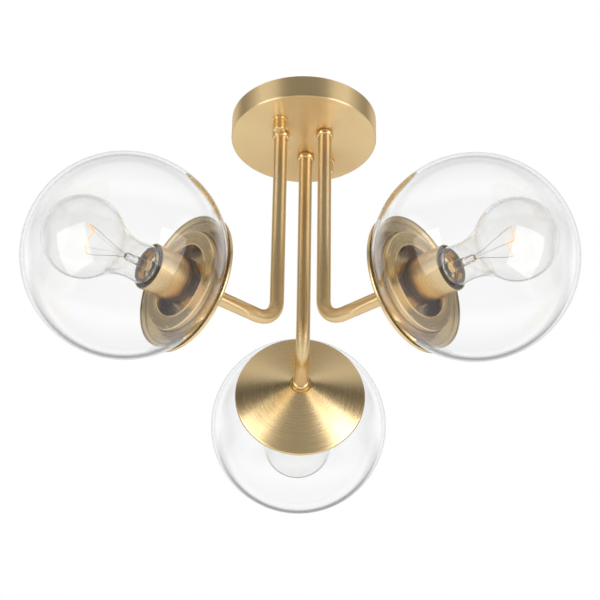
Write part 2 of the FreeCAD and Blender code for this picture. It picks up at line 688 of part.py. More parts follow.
def make_sleeve_and_shell(arm):
    """Smooth sleeve over the lamp holder, and the screw shell inside it."""
    sleeve = new_piece(f"{arm[0]}_socket_sleeve")
    place_on_arm(sleeve, arm)
    inner = "(dims.holder_radius + dims.sleeve_fit)"
    revolve(sleeve, "H_Axis", tube_outline(BRACKET, SLEEVE_MOUTH, inner,
                                           f"({inner} + dims.sleeve_wall)"))
    shell = new_piece(f"{arm[0]}_screw_shell")
    place_on_arm(shell, arm)
    front = f"({HOLDER_FRONT} - dims.shell_recess)"
    hole = "(dims.contact_radius + dims.base_gap)"
    revolve(shell, "H_Axis", [
        (HOLDER_FLOOR, hole),
        (HOLDER_FLOOR, SHELL_OUTSIDE),
        (front, SHELL_OUTSIDE),
        (front, SHELL_INSIDE),
        (f"{HOLDER_FLOOR} + dims.shell_wall", SHELL_INSIDE),
        (f"{HOLDER_FLOOR} + dims.shell_wall", hole)])


def make_globe(arm):
    """Blown globe whose mouth is turned in to a flat lip round the gallery."""
    body = new_piece(f"{arm[0]}_globe")
    place_on_arm(body, arm)
    sunk = f"({RIM_BACK} + dims.mouth_sunk)"
    back = f"(dims.reach - {sunk})"
    front = f"({back} + dims.globe_wall)"
    mouth = "(dims.gallery_radius + dims.mouth_gap)"
    pole = "dims.reach + dims.globe_radius"
    revolve(body, "H_Axis", [
        (back, f"sqrt(dims.globe_radius ^ 2 - {sunk} ^ 2)",
         "right", "dims.globe_radius"),
        (pole, "0"),
        (f"{pole} - dims.globe_wall", "0", "left", GLOBE_INSIDE),
        (front, f"sqrt({GLOBE_INSIDE} ^ 2 - ({sunk} - dims.globe_wall) ^ 2)"),
        (front, mouth, "round", "dims.mouth_round"),
        (back, mouth, "round", "dims.mouth_round")])


def bulb_surface(thickness):
    """Bulb's outline from its tail to its pole, a given thickness inside the glass."""
    sphere = f"({BULB_RADIUS} - {thickness})"
    flare = f"(dims.flare_radius - {thickness})"
    step = f"({BASE_FRONT} + dims.flare_proud + {thickness})"
    return [
        (f"{BASE_FRONT} - dims.tail_length", f"dims.tail_radius - {thickness}"),
        (step, f"dims.tail_radius - {thickness}"),
        (step, flare, "round", "dims.flare_round"),
        (NECK, f"dims.neck_radius - {thickness}",
         "left", f"({NECK_ARC} + {thickness})"),
        (f"{BULB_CENTRE} - {sphere} * {NECK_SPAN} / {NECK_REACH}",
         f"{sphere} * (dims.neck_radius + {NECK_ARC}) / {NECK_REACH}", "right", sphere),
        (f"{BULB_CENTRE} + {sphere}", "0")]


def make_bulb_glass(arm):
    """Clear envelope of the bulb: sphere, neck, flare and the tail inside its base."""
    body = new_piece(f"{arm[0]}_bulb_glass")
    place_on_arm(body, arm)
    revolve(body, "H_Axis", bulb_surface("0") + backwards(bulb_surface("dims.bulb_wall")))


def make_bulb_base(arm):
    """Screw base: a metal cup round the glass, an insulator and the centre contact."""
    body = new_piece(f"{arm[0]}_bulb_base")
    place_on_arm(body, arm)
    inside = "(dims.base_radius - dims.base_wall)"
    floor = f"({BASE_BACK} + dims.base_wall)"
    cone = f"({BASE_BACK} - dims.base_cone)"
    revolve(body, "H_Axis", [
        (TIP, "0"),
        (TIP, "dims.tip_radius"),
        (cone, "dims.tip_radius"),
        (cone, "dims.base_cone_radius"),
        (BASE_BACK, "dims.base_radius"),
        (BASE_FRONT, "dims.base_radius"),
        (BASE_FRONT, inside),
        (floor, inside),
        (floor, "0")])


def make_bulb_mount(arm):
    """Glass stem in the bulb with its foot, two leads and the filament between them."""
    body = new_piece(f"{arm[0]}_bulb_mount")
    place_on_arm(body, arm)
    foot = f"({BASE_FRONT} - dims.tail_length)"
    foot_radius = "(dims.tail_radius - dims.bulb_wall - dims.stem_fit)"
    end = f"({foot} + dims.stem_length)"
    revolve(body, "H_Axis", [
        (foot, "0"),
        (foot, foot_radius),
        (f"{foot} + dims.bulb_wall", foot_radius),
        (f"{foot} + {foot_radius}", "dims.stem_radius"),
        (end, "dims.stem_radius"),
        (end, "0")])
    start = f"({end} - dims.stem_radius)"
    far = f"({start} + dims.lead_length)"
    section = new_sketch(body, "YZ_Plane", offset=start)
    circle(section, "0", "dims.lead_start", "dims.wire_radius")
    path = new_sketch(body, "XZ_Plane")
    corners = [(start, "dims.lead_start"), (far, "dims.lead_spread"),
               (far, "-dims.lead_spread"), (start, "-dims.lead_start")]
    points = [FreeCAD.Vector(number(corner[0]), number(corner[1]), 0) for corner in corners]
    for index in range(3):
        path.addGeometry(Part.LineSegment(points[index], points[index + 1]))
        locate(path, index, 1, corners[index])
        if index:
            path.addConstraint(Sketcher.Constraint("Coincident", index - 1, 2, index, 1))
    locate(path, 2, 2, corners[3])
    wires = feature(body, "AdditivePipe", section)
    wires.Spine = (path, ["Edge1", "Edge2", "Edge3"])
    wires.Transition = "Right corner"


def check_document():
    """Stop if any object failed or any piece is not a sound solid."""
    for item in doc.Objects:
        if any(word in item.State for word in ("Invalid", "Error")):
            raise RuntimeError(f"{item.Name} failed: {item.State}")
    for node in nodes:
        if node.Shape.isNull() or not node.Shape.isValid() or node.Shape.Volume <= 0:
            raise RuntimeError(f"{node.Label} has no sound shape")


def write_pieces():
    """Write each piece to its own file."""
    os.makedirs("parts", exist_ok=True)
    for node in nodes:
        node.Shape.exportStep(f"parts/{node.Label}.step")
        box = node.Shape.BoundBox
        print(f"{node.Label}: {len(node.Shape.Solids)} solid(s), {node.Shape.Volume:.0f} mm3, "
              f"{box.XLength:.1f} x {box.YLength:.1f} x {box.ZLength:.1f} mm")


fill_sheet()
make_canopy()
make_crossbar()
make_studs()
make_stud_nuts()
make_ground_screw()
make_knob("knob_rear", 0)
make_knob("knob_front", 180)
for arm in ARMS:
    make_arm_tube(arm)
    make_collars(arm)
    make_nipples(arm)
    make_top_nut(arm)
    make_hub_nut(arm)
    make_cup(arm)
    make_gallery(arm)
    make_socket_bracket(arm)
    make_holder(arm)
    make_sleeve_and_shell(arm)
    make_globe(arm)
    make_bulb_glass(arm)
    make_bulb_base(arm)
    make_bulb_mount(arm)
doc.recompute()
check_document()
write_pieces()
print(f"{len(nodes)} pieces")
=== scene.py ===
# %% [markdown]
# # A semi flush ceiling light with three glass globes
# A round brass canopy closes the ceiling box. Three bent tubes hang from it, and each one
# carries a spun cup, a pressed ring, a lamp holder with its bulb, and a clear blown globe.
# The packed CAD model is loaded first. It holds every size, and stays fixed: what looks
# plain on it is covered here by finer pieces that stand in the same places.
# %% Load the packed model
import bmesh
import bpy
import numpy as np
from mathutils import Matrix


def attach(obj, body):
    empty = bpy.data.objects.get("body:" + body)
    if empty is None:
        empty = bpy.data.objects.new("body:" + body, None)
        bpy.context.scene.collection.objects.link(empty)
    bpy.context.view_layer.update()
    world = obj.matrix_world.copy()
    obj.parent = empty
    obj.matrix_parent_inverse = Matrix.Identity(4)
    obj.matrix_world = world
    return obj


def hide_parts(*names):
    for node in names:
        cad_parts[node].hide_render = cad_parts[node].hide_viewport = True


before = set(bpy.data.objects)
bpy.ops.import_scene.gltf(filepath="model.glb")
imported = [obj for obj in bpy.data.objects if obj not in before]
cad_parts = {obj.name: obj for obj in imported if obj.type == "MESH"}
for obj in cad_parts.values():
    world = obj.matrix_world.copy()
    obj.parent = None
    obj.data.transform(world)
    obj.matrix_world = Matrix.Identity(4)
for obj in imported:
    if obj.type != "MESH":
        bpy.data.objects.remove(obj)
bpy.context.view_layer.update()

# %% [markdown]
# ## The camera
# The photograph looks up at the light from a little over a metre in front and below. Where
# the camera stood was worked out from the places of the globes, rims and stems in the
# picture. A long lens keeps the three globes nearly the same size.
# %% Put up the camera
MM = 0.001
PITCH, ROLL = 0.544, 0.016
CAMERA_PLACE = np.array([-1.05, -1077.5, -826.0]) * MM
FOCUS_IN_PIXELS, PICTURE_WIDTH, FILM_WIDTH = 1614.7, 600, 36

forward = np.array([0.0, np.cos(PITCH), np.sin(PITCH)])
level = np.array([1.0, 0.0, 0.0])
upright = np.cross(level, forward)
right = np.cos(ROLL) * level + np.sin(ROLL) * upright
up = np.cos(ROLL) * upright - np.sin(ROLL) * level
lens = bpy.data.cameras.new("camera")
lens.sensor_width = FILM_WIDTH
lens.lens = FOCUS_IN_PIXELS / PICTURE_WIDTH * FILM_WIDTH
camera = bpy.data.objects.new("camera", lens)
turn = np.eye(4)
turn[:3, :3] = np.stack([right, up, -forward], axis=1)
turn[:3, 3] = CAMERA_PLACE
camera.matrix_world = Matrix(turn.tolist())
bpy.context.scene.collection.objects.link(camera)
bpy.context.scene.camera = camera
bpy.context.scene.view_settings.view_transform = "Standard"
print("lens", round(lens.lens, 1), "mm")

# %% [markdown]
# ## Shader arithmetic
# A material is a small computation, so it reads best as one. `Signal` wraps an output of a
# node: plus, minus and times on it add Math nodes, and `add` makes any other node, with its
# settings first and then the values or signals of its inputs.
# %% Wrap the sockets
class Signal:
    """An output of a shader node, or only its tree when socket is None."""

    def __init__(self, tree, socket=None):
        self.tree, self.socket = tree, socket

    def add(self, kind, inputs={}, out=0, stops=(), **settings):
        """Add a node: its settings and ramp stops, then what feeds its inputs."""
        node = self.tree.nodes.new("ShaderNode" + kind)
        for name, value in settings.items():
            setattr(node, name, value)
        for index, (place, grey) in enumerate(stops):
            element = (node.color_ramp.elements[index] if index < 2
                       else node.color_ramp.elements.new(place))
            element.position, element.color = place, (grey, grey, grey, 1)
        for key, value in inputs.items():
            if isinstance(value, Signal):
                self.tree.links.new(value.socket, node.inputs[key])
            else:
                node.inputs[key].default_value = value
        return Signal(self.tree, node.outputs[out])

    def math(self, operation, first, second):
        return self.add("Math", {0: first, 1: second}, operation=operation)

    def __add__(self, other):
        return self.math("ADD", self, other)

    def __radd__(self, other):
        return self.math("ADD", other, self)

    def __sub__(self, other):
        return self.math("SUBTRACT", self, other)

    def __rsub__(self, other):
        return self.math("SUBTRACT", other, self)

    def __mul__(self, other):
        return self.math("MULTIPLY", self, other)

    def __rmul__(self, other):
        return self.math("MULTIPLY", other, self)


print("a signal also works on the right:", [name for name in vars(Signal) if name[:3] == "__r"])


# %% Open and close a material
def new_finish(name):
    """An empty material and a Signal on its tree."""
    finish = bpy.data.materials.new(name)
    finish.use_nodes = True
    finish.node_tree.nodes.clear()
    return finish, Signal(finish.node_tree)


def show(start, shader, kind="OutputMaterial"):
    """Lead a shader to the output of its tree."""
    end = start.tree.nodes.new("ShaderNode" + kind)
    start.tree.links.new(shader.socket, end.inputs["Surface"])


def tones(start, share, first, second):
    """(1 - share) * first + share * second, on the Mix node's colour sockets, 6 and 7."""
    return start.add("Mix", {0: share, 6: (*first, 1), 7: (*second, 1)}, out=2, data_type="RGBA")


print("a material starts with new_finish and ends with show")

# %% [markdown]
# ## Satin brass
# The real metal is brass plate, brushed while the part turns, then lacquered. The brush
# leaves fine lines round every turned part, so a light smears across the lines. Each turned
# piece carries an attribute, `grain`: the cosine and sine of the angle round its axis and
# the distance along its profile. Noise that is long in the first two and short in the third
# gives unbroken lines with no seam. The same noise bends the normal and varies the gloss.
# The canopy and the tubes smear light much more than that bump can, so their brass is also
# anisotropic. Blender stretches a highlight round a turned piece, and a quarter turn lays it
# across the lines. The specular tint dulls the metal at its edges, and the coat is lacquer.
# %% Brass with brushed lines
def satin_brass(name, light, dark, lines_from, smooth=0.19, spread=0.0):
    """Brushed and lacquered brass. lines_from is 'grain', or 'Object' for CAD nodes.
    smooth is the least roughness, and spread smears the light more across the lines."""
    finish, start = new_finish(name)
    if lines_from == "grain":
        along = start.add("Attribute", out="Vector", attribute_name="grain")
        stretch = (0.03, 0.03, 1.0)
    else:
        along = start.add("TexCoord", out="Object")
        stretch = (1000.0, 1000.0, 60.0)
    brushed = start.add("Mapping", {"Vector": along, "Scale": stretch})
    fine = start.add("TexNoise", {"Vector": brushed, "Scale": 4.0, "Detail": 3.0})
    broad = start.add("TexNoise", {"Vector": brushed, "Scale": 0.45, "Detail": 2.0})
    place = start.add("TexCoord", out="Object")
    cloud = start.add("TexNoise", {"Vector": place, "Scale": 35.0, "Detail": 4.0})
    tone = cloud * 0.6 + fine * 0.2 + broad * 0.2
    rough = smooth + fine * 0.08 + broad * 0.06
    height = fine * 0.3 + broad * 0.7
    normal = start.add("Bump", {"Height": height, "Strength": 1.0, "Distance": 0.00007})
    show(start, start.add("BsdfPrincipled", {
        "Base Color": tones(start, tone, dark, light), "Metallic": 1.0, "Roughness": rough,
        "Specular Tint": (0.6, 0.5, 0.35, 1), "Anisotropic": spread,
        "Anisotropic Rotation": 0.25, "Coat Weight": 0.3, "Coat Roughness": 0.10,
        "Normal": normal}))
    return finish


BRASS_LIGHT, BRASS_DARK = (0.92, 0.71, 0.40), (0.80, 0.58, 0.29)
brass = satin_brass("satin_brass", BRASS_LIGHT, BRASS_DARK, "grain")
brass_drawn = satin_brass("satin_brass_drawn", BRASS_LIGHT, BRASS_DARK, "grain",
                          smooth=0.33, spread=0.9)
brass_cad = satin_brass("satin_brass_stamped", BRASS_LIGHT, BRASS_DARK, "Object")
print("three brasses of", len(brass.node_tree.nodes), "nodes each")

# %% [markdown]
# ## Clear glass
# The globes are blown soda glass, two and a half millimetres thick, and the bulbs are much
# thinner. Both are real walls here with an outside and an inside, so their edges bend the
# view as the real ones do. A ray that grazes the wall goes through many times its thickness
# of glass, which deepens its colour a little. The fine dark outline of the glass is painted
# shade: a much darker colour laid on the surface by the angle at which it is seen. Blown
# glass is never quite even: slow ripples of a few hundredths of a millimetre bend the
# reflections. Rays from the lamps pass straight through and light what is inside.
# %% Glass with a real wall
def blown_glass(name, tint, painted_edge_tone, index, ripple):
    """Clear glass of a refractive index, with slow ripples of a height in metres. The painted
    dark edge colour is painted shade for the outline. It comes in between 0.74 and 0.92 of the
    measure that Layer Weight calls Facing."""
    finish, start = new_finish(name)
    place = start.add("TexCoord", out="Object")
    wave = start.add("TexNoise", {"Vector": place, "Scale": 14.0, "Detail": 1.0})
    haze = start.add("TexNoise", {"Vector": place, "Scale": 60.0, "Detail": 3.0})
    normal = start.add("Bump", {"Height": wave, "Strength": 1.0, "Distance": ripple})
    # Painted shade: the glass colour turns dark where its surface is seen edge on, drawing the
    # outline.
    graze = start.add("LayerWeight", {"Blend": 0.5}, out="Facing")
    painted_outline_share = start.add("MapRange", {0: graze, 1: 0.74, 2: 0.92}, interpolation_type="SMOOTHSTEP")
    glass = start.add("BsdfPrincipled", {
        "Base Color": tones(start, painted_outline_share, tint, painted_edge_tone), "Roughness": haze * 0.012,
        "IOR": index, "Transmission Weight": 1.0, "Normal": normal})
    through = start.add("BsdfTransparent", {"Color": (*tint, 1)})
    shadow = start.add("LightPath", out="Is Shadow Ray")
    show(start, start.add("MixShader", {0: shadow, 1: glass, 2: through}))
    return finish


# The second colour of each glass is its painted dark edge, painted shade for the outline.
globe_glass = blown_glass("clear_glass", (0.996, 0.999, 0.997), (0.40, 0.41, 0.40),
                          index=1.46, ripple=0.000015)
bulb_glass = blown_glass("bulb_glass", (0.995, 0.995, 0.99), (0.85, 0.85, 0.83),
                         index=1.45, ripple=0.00002)
print("two kinds of glass of", len(globe_glass.node_tree.nodes), "nodes each")

# %% [markdown]
# ## The finishes inside
# Steel that is hidden in the canopy is zinc plated, with the patchy bloom of the bath. The
# lamp holder is moulded phenolic, almost black. The bulb's base is thin bright metal, closed
# inside with amber cement, and its wires are nickel with a glowing filament. Each finish
# mixes two tones by a pattern, and a finer noise scratches or grains the skin of most, so
# that no surface is one flat colour.
# %% Zinc and bright metal
def plain_metal(name, light, dark, rough, scale):
    """Metal whose tone and gloss drift in patches of a scale, with fine scratches."""
    finish, start = new_finish(name)
    place = start.add("TexCoord", out="Object")
    patches = start.add("TexVoronoi", {"Vector": place, "Scale": scale}, feature="SMOOTH_F1")
    scratch = start.add("TexNoise", {"Vector": place, "Scale": scale * 9, "Detail": 4.0})
    normal = start.add("Bump", {"Height": scratch, "Strength": 0.4, "Distance": 0.0001})
    show(start, start.add("BsdfPrincipled", {
        "Base Color": tones(start, patches * 0.6 + scratch * 0.4, dark, light),
        "Metallic": 1.0, "Roughness": rough + patches * 0.12, "Normal": normal}))
    return finish


zinc = plain_metal("zinc_steel", (0.66, 0.67, 0.68), (0.46, 0.47, 0.49), 0.32, 260.0)
shell_brass = plain_metal("contact_brass", (0.86, 0.66, 0.36), (0.72, 0.52, 0.26), 0.22, 180.0)
base_metal = plain_metal("base_metal", (0.90, 0.76, 0.52), (0.78, 0.60, 0.36), 0.16, 220.0)
wire_metal = plain_metal("wire_metal", (0.62, 0.60, 0.57), (0.42, 0.40, 0.38), 0.25, 900.0)
print("four plain metals of", len(zinc.node_tree.nodes), "nodes each")


# %% Phenolic and cement
def moulded(name, light, dark, rough):
    """Moulded plastic or cement: slow mottling, a fine grain and a soft shine."""
    finish, start = new_finish(name)
    place = start.add("TexCoord", out="Object")
    mottle = start.add("TexNoise", {"Vector": place, "Scale": 90.0, "Detail": 5.0})
    skin = start.add("TexNoise", {"Vector": place, "Scale": 1500.0, "Detail": 2.0})
    normal = start.add("Bump", {"Height": skin, "Strength": 0.5, "Distance": 0.0001})
    show(start, start.add("BsdfPrincipled", {
        "Base Color": tones(start, mottle, dark, light), "Roughness": rough + mottle * 0.1,
        "Normal": normal}))
    return finish


phenolic = moulded("phenolic", (0.060, 0.048, 0.040), (0.026, 0.022, 0.020), 0.32)
cement = moulded("cement", (0.96, 0.66, 0.28), (0.84, 0.50, 0.18), 0.55)
print("two moulded finishes of", len(cement.node_tree.nodes), "nodes each")


# %% The glow of the filament
def glowing(name):
    """Tungsten with a faint warm glow along its coil."""
    finish, start = new_finish(name)
    place = start.add("TexCoord", out="Object")
    spots = start.add("TexNoise", {"Vector": place, "Scale": 400.0, "Detail": 2.0})
    show(start, start.add("BsdfPrincipled", {
        "Base Color": (0.85, 0.45, 0.18, 1), "Metallic": 0.3, "Roughness": 0.4 + spots * 0.2,
        "Emission Color": tones(start, spots, (1.0, 0.30, 0.08), (1.0, 0.48, 0.18)),
        "Emission Strength": 0.9}))
    return finish


filament_glow = glowing("filament")
print("filament of", len(filament_glow.node_tree.nodes), "nodes")

# %% [markdown]
# ## From numbers to a mesh
# Every piece below is a grid of points worked out at once: rows run along a profile or a
# path, columns run round it. The grid becomes faces, points that fall together at a pole
# are welded, and the mesh is turned so that its faces point outwards.
# %% Grid to mesh
WELD, SHARP_EDGE = 1e-7, np.radians(38)


def grid_faces(rows, columns):
    """Quads (r, c), (r + 1, c), (r + 1, c + 1), (r, c + 1). The last column meets the first."""
    index = np.arange(rows * columns).reshape(rows, columns)
    after = np.roll(index, -1, axis=1)
    return np.stack([index[:-1], index[1:], after[1:], after[:-1]], axis=-1).reshape(-1, 4)


def new_piece(name, points, grain, finish, body, nodes=(), parts=None):
    """Make one piece from a grid (rows, columns, 3) in metres, or from several grids."""
    grids = parts or [(points, grain)]
    corners, lines, faces, first = [], [], [], 0
    for grid, marks in grids:
        faces.append(first + grid_faces(*grid.shape[:2]))
        corners.append(grid.reshape(-1, 3))
        lines.append(marks.reshape(-1, 3))
        first += len(corners[-1])
    mesh = bpy.data.meshes.new(name)
    mesh.from_pydata(np.vstack(corners).tolist(), [], np.vstack(faces).tolist())
    marks = mesh.attributes.new("grain", "FLOAT_VECTOR", "POINT")
    marks.data.foreach_set("vector", np.vstack(lines).ravel())
    shape = bmesh.new()
    shape.from_mesh(mesh)
    bmesh.ops.remove_doubles(shape, verts=shape.verts, dist=WELD)
    if shape.calc_volume(signed=True) < 0:
        bmesh.ops.reverse_faces(shape, faces=shape.faces)
    shape.to_mesh(mesh)
    shape.free()
    mesh.shade_smooth()
    mesh.set_sharp_from_angle(angle=SHARP_EDGE)
    mesh.materials.append(finish)
    piece = bpy.data.objects.new(name, mesh)
    bpy.context.scene.collection.objects.link(piece)
    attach(piece, body)
    if nodes:
        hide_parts(*nodes)
    return piece


print("a grid of 3 rows and 4 columns makes", len(grid_faces(3, 4)), "faces")

# %% [markdown]
# ## Profiles
# A turned part is its profile swung round an axis. A profile here is a row of corners in
# millimetres, each a place along the axis and a radius, and a third number rounds it. An
# extra pair of points close to both ends of each straight side keeps flat faces flat under
# smooth shading. On the canopy and the cups, rows a quarter of a millimetre apart stand a
# few hundredths high or low: the rings that a brush or a spinning tool leaves.
# %% Outlines with rounded corners
def outline(corners):
    """Points (along, radius). A round r cuts r / tan(half angle) off both sides of a corner."""
    sharp = np.array([corner[:2] for corner in corners], float)
    rounds = [corner[2] if len(corner) > 2 else 0 for corner in corners]
    before, after = np.roll(sharp, 1, axis=0), np.roll(sharp, -1, axis=0)
    pieces = []
    for index, size in enumerate(rounds):
        here = sharp[index]
        if not size:
            pieces.append(here[None])
            continue
        back = (before[index] - here) / np.linalg.norm(before[index] - here)
        ahead = (after[index] - here) / np.linalg.norm(after[index] - here)
        half = np.arccos(np.clip(back @ ahead, -1, 1)) / 2
        start, end = here + back * size / np.tan(half), here + ahead * size / np.tan(half)
        centre = here + (back + ahead) / np.linalg.norm(back + ahead) * size / np.sin(half)
        swing = np.linspace(0, 1, max(4, int(np.ceil((np.pi - 2 * half) / 0.2))))
        first, last = start - centre, end - centre
        whole = np.pi - 2 * half
        share = np.stack([np.sin((1 - swing) * whole), np.sin(swing * whole)]) / np.sin(whole)
        pieces.append(centre + share[0][:, None] * first + share[1][:, None] * last)
    return supported(np.vstack(pieces))


def supported(points, inset=0.2, shortest=1.5):
    """Add a point an inset from both ends of each side that is longer than the shortest."""
    ends = np.roll(points, -1, axis=0)
    sides = ends - points
    length = np.linalg.norm(sides, axis=1, keepdims=True)
    rows = np.stack([points, points + sides / np.maximum(length, 1e-9) * inset,
                     ends - sides / np.maximum(length, 1e-9) * inset], axis=1)
    keep = np.ones(rows.shape[:2], bool)
    keep[:, 1:] = length > shortest
    keep[-1, 1:] = False
    return rows[keep]


print("one rounded corner takes", len(outline([(0, 0), (0, 5, 1), (5, 5)])), "points")


# %% Rings of the brush
def brushed_rows(profile, sides, seed, pitch=0.25, depth=0.014):
    """Rows a pitch apart on the first few sides over 3 mm, each lifted square to its side by a
    random depth times sin(pi * share) ** 0.25, which fades out at both ends of the side."""
    steps = np.diff(profile, axis=0)
    lengths = np.linalg.norm(steps, axis=1)
    chance = np.random.default_rng(seed)
    pieces, first = [], 0
    for side in np.flatnonzero(lengths > 3)[:sides]:
        share = np.linspace(0, 1, int(lengths[side] / pitch))[1:-1, None]
        square = np.array([-steps[side, 1], steps[side, 0]]) / lengths[side]
        lift = chance.normal(0, depth, share.shape) * np.sin(np.pi * share) ** 0.25
        pieces += [profile[first:side + 1], profile[side] + share * steps[side] + lift * square]
        first = side + 1
    return np.vstack(pieces + [profile[first:]])


print("pitch and depth of the rings:", brushed_rows.__defaults__, "mm")


# %% Arcs and the lathe
def arc(centre, radius, start, end, steps):
    """Points centre + radius * (cos a, sin a) on (along, radius), for a from start to end."""
    angle = np.linspace(start, end, steps)
    return np.stack([centre[0] + radius * np.cos(angle), centre[1] + radius * np.sin(angle)], 1)


def lathe(profile, axis, columns):
    """Swing a profile round X or Z: along * axis + radius * (cos a, sin a) across it.
    Returns the grid in millimetres and its grain: (10 cos a, 10 sin a, distance along)."""
    along, radius = profile.T
    angle = np.linspace(0, 2 * np.pi, columns, endpoint=False)
    across, aside = radius[:, None] * np.cos(angle), radius[:, None] * np.sin(angle)
    height = np.broadcast_to(along[:, None], across.shape)
    order = (height, across, aside) if axis == "X" else (across, aside, height)
    steps = np.linalg.norm(np.diff(profile, axis=0), axis=1)
    run = np.broadcast_to(np.concatenate([[0], np.cumsum(steps)])[:, None], across.shape)
    circle = np.broadcast_to(angle, across.shape)
    grain = np.stack([10 * np.cos(circle), 10 * np.sin(circle), run], axis=-1)
    return np.stack(order, axis=-1), grain


print("the lathe turns a half circle of 9 points into a ball of",
      lathe(arc((0, 0), 1, 0, np.pi, 9), "Z", 16)[0].shape[:2], "points")

# %% [markdown]
# ## Where the arms are
# Each arm has a frame of its own, as in the CAD model: its origin is where the stem's axis
# meets the arm's axis, X runs out along the arm and Z runs up the stem. The stems stand on
# one small circle, and each arm is turned a little from straight out, as it hung when it
# was photographed.
# %% Frames of the arms
STEM_CIRCLE, ARM_DROP, REACH = 20.9, 201.3, 142.9
STEM_AND_TURN = {"rear": (85, 6), "left": (205, 16), "right": (325, -7)}


def arm_frame(side):
    """Origin in millimetres and the rows X, Y, Z of an arm's frame: X = (cos h, sin h, 0)
    for the heading h, Y a quarter turn on, Z up."""
    stem, turn = np.radians(STEM_AND_TURN[side])
    heading = stem + turn
    origin = np.array([STEM_CIRCLE * np.cos(stem), STEM_CIRCLE * np.sin(stem), -ARM_DROP])
    return origin, np.array([[np.cos(heading), np.sin(heading), 0],
                             [-np.sin(heading), np.cos(heading), 0], [0, 0, 1]])


def on_arm(side, grid):
    """Carry a grid from an arm's frame to its place: origin + grid @ axes, in metres."""
    origin, axes = arm_frame(side)
    return (origin + grid @ axes) * MM


for side in STEM_AND_TURN:
    print(side, "arm starts at", np.round(arm_frame(side)[0], 1))

# %% [markdown]
# ## The canopy
# A shallow drawn cup with a soft edge, 120 mm across, brushed in rings. It covers the
# ceiling box and its crossbar, and is open at the top against the ceiling. The profile runs
# from the middle of the face round the edge, up the side and back inside, and its face and
# side get the rings of the brush.
# %% Draw the canopy
CANOPY_RADIUS, CANOPY_HEIGHT, CANOPY_WALL, CANOPY_TOP = 60.0, 20.0, 1.2, -0.01
canopy_profile = outline([
    (-CANOPY_HEIGHT, 0), (-CANOPY_HEIGHT, CANOPY_RADIUS, 1.5), (CANOPY_TOP, CANOPY_RADIUS, 0.3),
    (CANOPY_TOP, CANOPY_RADIUS - CANOPY_WALL, 0.3),
    (CANOPY_WALL - CANOPY_HEIGHT, CANOPY_RADIUS - CANOPY_WALL, 0.6),
    (CANOPY_WALL - CANOPY_HEIGHT, 0)])
grid, grain = lathe(brushed_rows(canopy_profile, sides=2, seed=1), "Z", 160)
canopy = new_piece("canopy_cover", grid * MM, grain, brass_drawn, "ceiling_mount",
                   ["canopy"])
print("canopy:", len(canopy.data.polygons), "faces")

# %% [markdown]
# ## The two knobs
# Cap nuts that pull the canopy up against the crossbar. Each is a small cylinder with a
# flange against the canopy and a bevelled end, turned from one bar. Its thread is a blind
# hole from above, so the profile goes up inside it before it meets the axis.
# %% Turn the knobs
KNOB_ANGLE, KNOB_SPACING, KNOB_TOP = np.radians(55), 69.85, -20.15
KNOB_LENGTH, KNOB_RADIUS, KNOB_BORE, KNOB_DEPTH = 12.5, 5.0, 2.1, 9.05
FLANGE, FLANGE_RADIUS = 1.2, 6.0
knob_profile = outline([
    (KNOB_TOP - KNOB_LENGTH, 0), (KNOB_TOP - KNOB_LENGTH, 3.4, 1.0),
    (KNOB_TOP - 11.2, KNOB_RADIUS, 0.6), (KNOB_TOP - FLANGE, KNOB_RADIUS, 0.3),
    (KNOB_TOP - FLANGE, FLANGE_RADIUS, 0.3), (KNOB_TOP, FLANGE_RADIUS, 0.3),
    (KNOB_TOP, KNOB_BORE), (KNOB_TOP - KNOB_DEPTH, KNOB_BORE), (KNOB_TOP - KNOB_DEPTH, 0)])
for name, half_turn, body in (("rear", 0, "rear_knob"), ("front", np.pi, "front_knob")):
    grid, grain = lathe(knob_profile, "Z", 64)
    angle = KNOB_ANGLE + half_turn
    centre = KNOB_SPACING / 2 * np.array([np.cos(angle), np.sin(angle), 0])
    new_piece(f"{name}_cap_nut", (grid + centre) * MM, grain, brass, body,
              [f"knob_{name}"])
print("two knobs,", KNOB_SPACING, "mm apart")

# %% [markdown]
# ## The bent arms
# Brass tube of 7/16 inch: down from the canopy, round one bend of 20 mm, and out to the
# cup. The centre line is a straight run, a quarter circle and a straight run, written as
# one function of the distance along it, so the brushed lines run evenly round the bend.
# The places of the cup's rim and its apex are needed first, because the tube ends there.
# %% Bend the tubes
TUBE_RADIUS, BEND = 5.55, 20.0
CANOPY_GAP, BEAD_LENGTH = 0.2, 5.2
RIM_TO_CENTRE, CUP_DEPTH = 53.5019, 23.5
TUBE_TOP = ARM_DROP - CANOPY_HEIGHT - CANOPY_GAP - BEAD_LENGTH
RIM = REACH - RIM_TO_CENTRE
APEX = RIM - CUP_DEPTH
TUBE_END = APEX - BEAD_LENGTH


